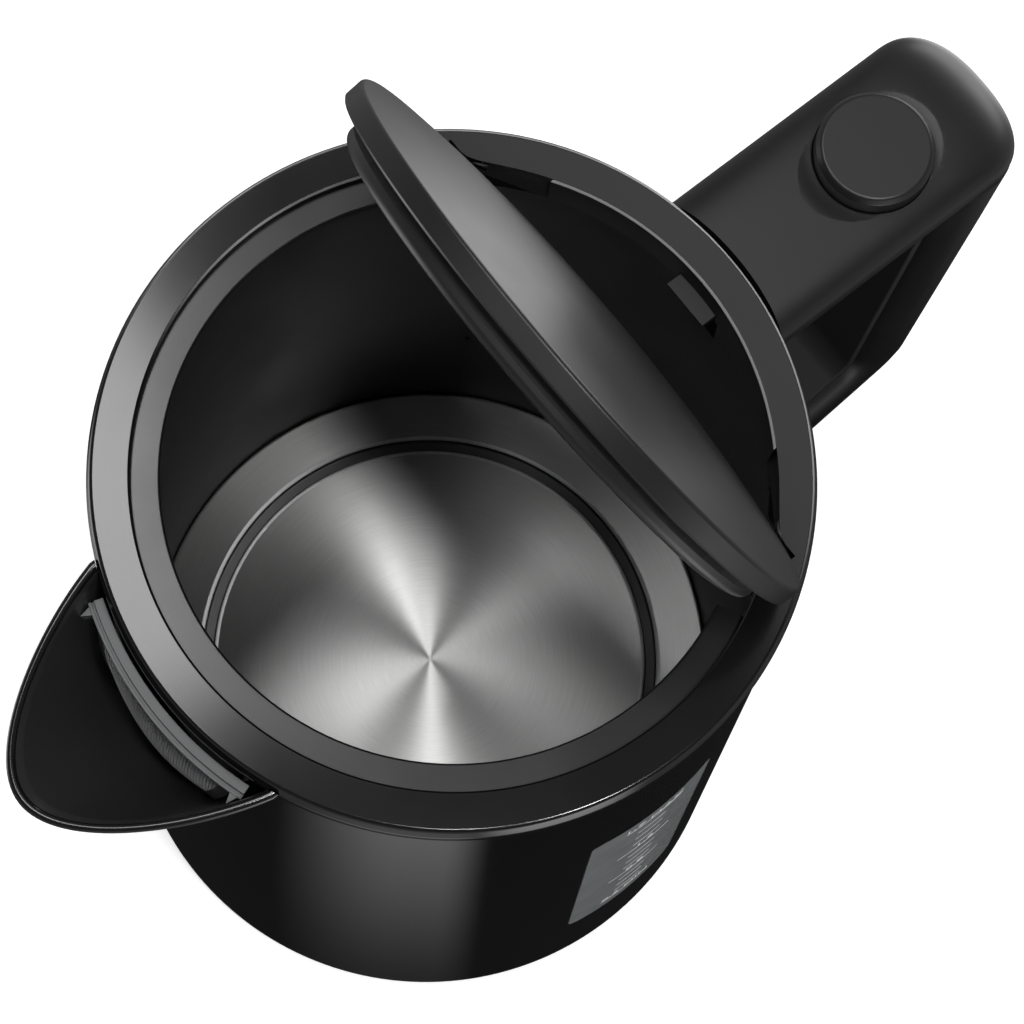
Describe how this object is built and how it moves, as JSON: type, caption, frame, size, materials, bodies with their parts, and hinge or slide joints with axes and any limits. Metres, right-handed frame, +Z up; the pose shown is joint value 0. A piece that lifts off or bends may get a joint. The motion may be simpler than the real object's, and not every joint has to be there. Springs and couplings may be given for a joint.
{
  "type": "electric kettle",
  "caption": "Cordless electric kettle with a sprung lid, a release button in the handle, a filtered spout and a water window.",
  "frame": {"origin": "under the middle of the object, on the surface it stands on, halfway between spout tip and handle back", "axes": "+Z up, +X towards the handle, -X towards the spout"},
  "size_m": [0.2306, 0.1494, 0.3072],
  "materials": {
    "gloss_black": "glossy black polypropylene",
    "satin_black": "satin black polypropylene, fine moulded grain",
    "matt_black": "matt black polypropylene",
    "steel": "spun stainless steel",
    "spring_steel": "bright drawn spring wire",
    "aluminium": "plain aluminium",
    "brass": "plain brass",
    "clear": "smoke-grey clear polypropylene",
    "silicone": "grey silicone rubber",
    "rubber": "black rubber",
    "grey_plastic": "grey plastic"
  },
  "bodies": {
    "kettle": {"outer_body": "gloss_black", "inner_pot": "matt_black", "rim_ring": "satin_black", "water_window": "clear", "window_seal": "silicone", "spout": "gloss_black", "filter_frame": "grey_plastic", "filter_mesh": "steel", "base_plate": "steel", "plate_gasket": "silicone", "heat_spreader": "aluminium", "heating_element": "aluminium", "control_unit": "matt_black", "connector_socket": "matt_black", "contact_pin": "brass", "base_cover": "matt_black", "handle_cover": "satin_black", "handle_grip": "satin_black", "handle_liner": "matt_black", "handle_spine": "satin_black", "button_spring": "spring_steel", "latch_spring": "spring_steel", "lid_spring": "spring_steel", "switch_cup": "grey_plastic", "bimetal_disc": "brass", "base_screw_1": "spring_steel", "base_screw_2": "spring_steel", "base_screw_3": "spring_steel", "foot_1": "rubber", "foot_2": "rubber", "foot_3": "rubber", "foot_4": "rubber", "handle_screw_1": "spring_steel", "handle_screw_2": "spring_steel"},
    "lid": {"lid_cap": "satin_black", "lid_plug": "satin_black", "lid_seal": "silicone", "lid_pin_left": "spring_steel", "lid_pin_right": "spring_steel"},
    "button": {"lid_release_button": "satin_black"},
    "latch": {"latch_slider": "satin_black"},
    "lever": {"switch_lever": "satin_black"}
  },
  "joints": [
    {"name": "lid_hinge", "type": "hinge", "parent": "kettle", "child": "lid", "pos_m": [0.01735, 0, 0.2186], "axis": [0, -1, 0], "range_deg": [0, 70.4], "stiffness_Nm_per_rad": 0.02, "springref_deg": -34.38, "deforming": ["lid_spring"]},
    {"name": "button_press", "type": "slide", "parent": "kettle", "child": "button", "axis": [0, 0, -1], "range_m": [0, 0.004], "stiffness_N_per_m": 300, "springref_m": -0.002, "deforming": ["button_spring"]},
    {"name": "latch_slide", "type": "slide", "parent": "kettle", "child": "latch", "axis": [1, 0, 0], "range_m": [0, 0.004], "stiffness_N_per_m": 200, "springref_m": -0.002, "deforming": ["latch_spring"]},
    {"name": "switch_press", "type": "hinge", "parent": "kettle", "child": "lever", "pos_m": [0.09165, 0, 0.0825], "axis": [0, 1, 0], "range_deg": [0, 10]}
  ],
  "couplings": [
    {"joint": "latch_slide", "follows": "button_press", "ratio": 1}
  ]
}
